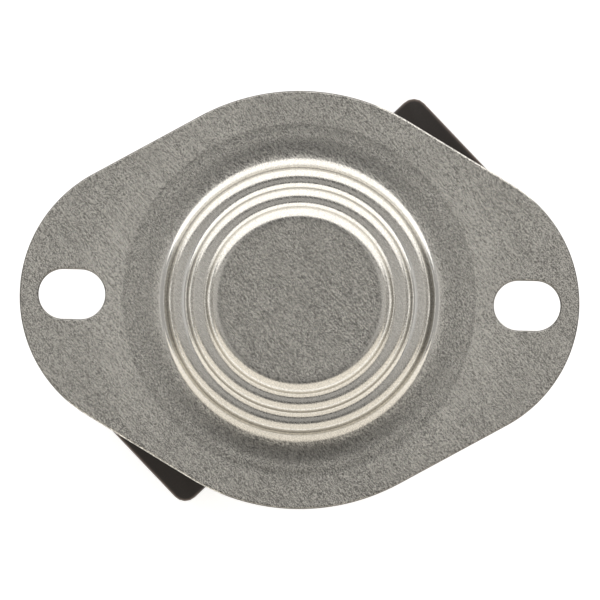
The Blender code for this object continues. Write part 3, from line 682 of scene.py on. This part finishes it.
def flange_edges(bm):
    """Walls of the outline and of both slots, each as its loops from back to front."""
    levels = edge_levels()
    end, middle = (END_OFFSET, 0.0, END_RADIUS), (0.0, 0.0, MIDDLE_RADIUS)
    circles = [end, middle, (-END_OFFSET, 0.0, END_RADIUS), middle]
    stacks = [[add_loop(bm, belt(circles, inset, OUTLINE_STEP), z) for inset, z in levels]]
    slot_end = SLOT_WIDTH / 2
    slot_half = SLOT_LENGTH / 2 - slot_end
    for side in (1, -1):
        x = side * SLOT_SPACING / 2
        slot = [(x - slot_half, 0.0, slot_end), (x + slot_half, 0.0, slot_end)]
        stack = [add_loop(bm, belt(slot, -inset, SLOT_STEP), z) for inset, z in levels]
        stacks.append(stack)
    for stack in stacks:
        for lower, upper in zip(stack, stack[1:]):
            join_loops(bm, lower, upper)
    return stacks


def finish_mesh(name, bm, material, body, node, sharp):
    """Make the object, shade it and let it stand for its node."""
    bmesh.ops.recalc_face_normals(bm, faces=bm.faces[:])
    mesh = bpy.data.meshes.new(name)
    bm.to_mesh(mesh)
    bm.free()
    mesh.shade_smooth()
    mesh.set_sharp_from_angle(angle=sharp)
    made = bpy.data.objects.new(name, mesh)
    mesh.materials.append(material)
    bpy.context.scene.collection.objects.link(made)
    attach(made, body)
    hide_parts(node)
    return made


def flange_cup(material):
    """The stamped sheet with fine bends, edges and crease."""
    bm = bmesh.new()
    outer = CREASE_RADIUS + CREASE_WIDTH / 2 + EDGE_BAND
    front_profile = cup_profile(0.0, FRONT_PIECES) + crease_profile() + [(outer, FLANGE_FRONT)]
    front = turned(bm, front_profile)
    back = turned(bm, cup_profile(SHEET, BACK_PIECES) + [(outer, FLANGE_BACK)])
    outline, *slots = flange_edges(bm)
    fill_between(bm, [outline[0], back] + [slot[0] for slot in slots])
    fill_between(bm, [outline[-1], front] + [slot[-1] for slot in slots])
    finish_mesh(
        "sheet_cover", bm, material, "housing", "flange_cup", SHEET_SHARP
    )


def refined(node, material, body, width):
    """A copy of a node with its edges rounded."""
    bm = bmesh.new()
    bm.from_mesh(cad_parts[node].data)
    bmesh.ops.remove_doubles(bm, verts=bm.verts[:], dist=MERGE_DISTANCE)
    bmesh.ops.dissolve_limit(bm, angle_limit=FLAT_ANGLE, verts=bm.verts[:], edges=bm.edges[:])
    made = finish_mesh(node + "_shell", bm, material, body, node, SHELL_SHARP)
    edge = made.modifiers.new("edges", "BEVEL")
    edge.width = width
    edge.segments = BEVEL_SEGMENTS
    edge.limit_method = "ANGLE"
    edge.angle_limit = BEVEL_ANGLE
    edge.harden_normals = True


def dress():
    """Materials and finer meshes for every node."""
    sheet = aluminium_sheet()
    dark = phenolic()
    tab = plain_metal("tinned_brass", *TINNED_BRASS)
    ring = plain_metal("ring_aluminium", *RING_ALUMINIUM)
    flange_cup(sheet)
    refined("switch_case", dark, "housing", CASE_EDGE)
    refined("retaining_ring", ring, "housing", RING_EDGE)
    for number in (1, 2):
        refined(f"line_terminal_{number}", tab, "housing", TAB_EDGE)
        refined(f"heater_terminal_{number}", tab, "housing", TAB_EDGE)
        refined(f"line_rivet_{number}", tab, "housing", RIVET_EDGE)
        refined(f"heater_rivet_{number}", tab, "housing", RIVET_EDGE)
    inner = {
        "guide_plate": dark,
        "bimetal_disc": plain_metal("bimetal", *BIMETAL),
        "transfer_pin": matt("ceramic", *CERAMIC),
        "contact_plate": tab,
        "fixed_contact": plain_metal("silver", *SILVER),
        "contact_arm": plain_metal("spring_alloy", *SPRING_ALLOY),
        "bias_heater": matt("heater_coating", *HEATER_COATING),
        "heater_lead_1": tab,
        "heater_lead_2": tab,
    }
    inner["moving_contact"] = inner["fixed_contact"]
    for node, material in inner.items():
        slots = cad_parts[node].data.materials
        slots.clear()
        slots.append(material)


def area_light(name, place, target, size, radiance, colour):
    """Rectangular softbox of the given radiance, aimed at a point."""
    light = bpy.data.lights.new(name, "AREA")
    light.shape = "RECTANGLE"
    light.size, light.size_y = size
    light.energy = radiance * math.pi * size[0] * size[1]
    light.color = colour
    made = bpy.data.objects.new(name, light)
    made.location = place
    heading = Vector(target) - Vector(place)
    made.rotation_euler = heading.to_track_quat("-Z", "Y").to_euler()
    made.visible_camera = False
    bpy.context.scene.collection.objects.link(made)


def at_end(side, place, target, *rest):
    """A softbox at the right end for side 1, mirrored to the left end for side -1."""
    return (*((side * x, y, z) for x, y, z in (place, target)), *rest)


def pale_floor():
    """Pale floor that is clear from below."""
    bpy.ops.mesh.primitive_plane_add(size=FLOOR_SIZE, location=(0.0, 0.0, -FLOOR_GAP))
    floor = bpy.context.object
    floor.name = "floor"
    floor.visible_shadow = False
    look = Look("floor", *FLOOR_LOOK)
    look.set("Emission Color", WHITE)
    look.set("Emission Strength", FLOOR_GLOW)
    sides = look.node("ShaderNodeMixShader")
    below = look.node("ShaderNodeNewGeometry").outputs["Backfacing"]
    clear = look.node("ShaderNodeBsdfTransparent").outputs[0]
    for socket, value in zip(sides.inputs, (below, look.shader.outputs[0], clear)):
        look.feed(socket, value)
    look.feed(look.tree.nodes["Material Output"].inputs["Surface"], sides.outputs[0])
    floor.data.materials.append(look.material)


def surround():
    """Dim grey world that looks white to the camera."""
    world = bpy.data.worlds.new("surround")
    world.use_nodes = True
    tree = world.node_tree
    dim = tree.nodes["Background"]
    dim.inputs["Color"].default_value = DIM_GREY
    seen = tree.nodes.new("ShaderNodeBackground")
    seen.inputs["Color"].default_value = WHITE
    ray = tree.nodes.new("ShaderNodeLightPath")
    mix = tree.nodes.new("ShaderNodeMixShader")
    given = (ray.outputs["Is Camera Ray"], dim.outputs[0], seen.outputs[0])
    for socket, value in zip(mix.inputs, given):
        tree.links.new(value, socket)
    tree.links.new(mix.outputs[0], tree.nodes["World Output"].inputs["Surface"])
    bpy.context.scene.world = world


def studio():
    """Pale floor, soft panels and a dim surround."""
    pale_floor()
    area_light("upper_panel", *UPPER_PANEL)
    area_light("lower_panel", *LOWER_PANEL)
    area_light("overhead", *OVERHEAD)
    area_light("under_panel", *UNDER_PANEL)
    for side in (1, -1):
        area_light("overhead_side", *at_end(side, *OVERHEAD_SIDE))
        area_light("end_panel", *at_end(side, *END_PANEL))
    surround()
    bpy.context.scene.view_settings.view_transform = "Standard"


def camera():
    """Straight down on the sensing face, with the object a little turned in the frame."""
    view = bpy.data.cameras.new("camera")
    view.sensor_width = SENSOR
    field = FRAME_PIXELS / PIXELS_PER_MM * MM
    view.lens = SENSOR * CAMERA_DISTANCE / field
    view.clip_start = CLIP_START
    made = bpy.data.objects.new("camera", view)
    made.rotation_euler = (0.0, 0.0, OBJECT_TURN)
    right, up = (offset / PIXELS_PER_MM * MM for offset in CENTRE_OFFSET)
    c, s = math.cos(OBJECT_TURN), math.sin(OBJECT_TURN)
    made.location = (right * c - up * s, right * s + up * c, FLANGE_FRONT + CAMERA_DISTANCE)
    bpy.context.scene.collection.objects.link(made)
    bpy.context.scene.camera = made


dress()
studio()
camera()
